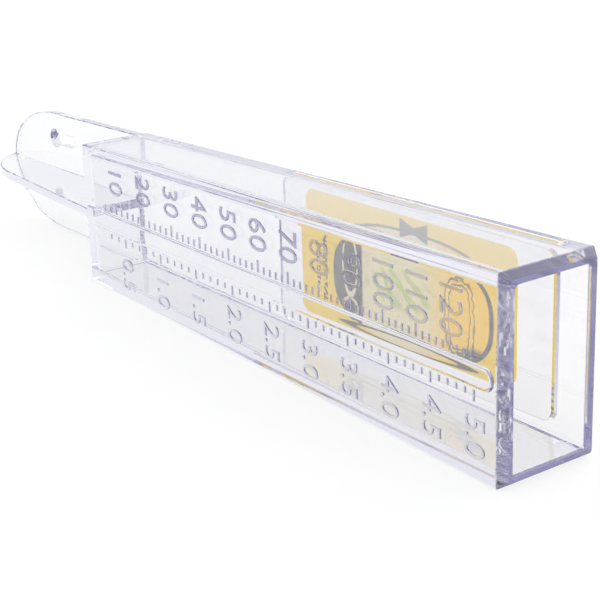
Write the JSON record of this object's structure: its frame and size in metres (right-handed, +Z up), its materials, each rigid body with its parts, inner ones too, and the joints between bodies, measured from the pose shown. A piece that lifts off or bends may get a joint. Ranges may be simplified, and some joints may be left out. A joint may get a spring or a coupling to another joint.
{
  "type": "rain gauge",
  "caption": "Clear tapered rain gauge with an open bevelled mouth, two raised scales on its wide front wall, a label behind a clear plate and a keyhole hanging tab.",
  "frame": {"origin": "middle of the lower narrow side, on the surface that the gauge lies on", "axes": "+X along the gauge towards its open mouth, +Y towards the flat back, +Z up across the width of the front wall"},
  "size_m": [0.2483, 0.0269, 0.0447],
  "materials": {
    "clear_plastic": "clear moulded polystyrene, polished, faint violet tint",
    "printed_film": "yellow printed film label, satin"
  },
  "bodies": {
    "root": {"gauge_body": "clear_plastic", "label_plate": "clear_plastic", "back_label": "printed_film"}
  },
  "joints": []
}
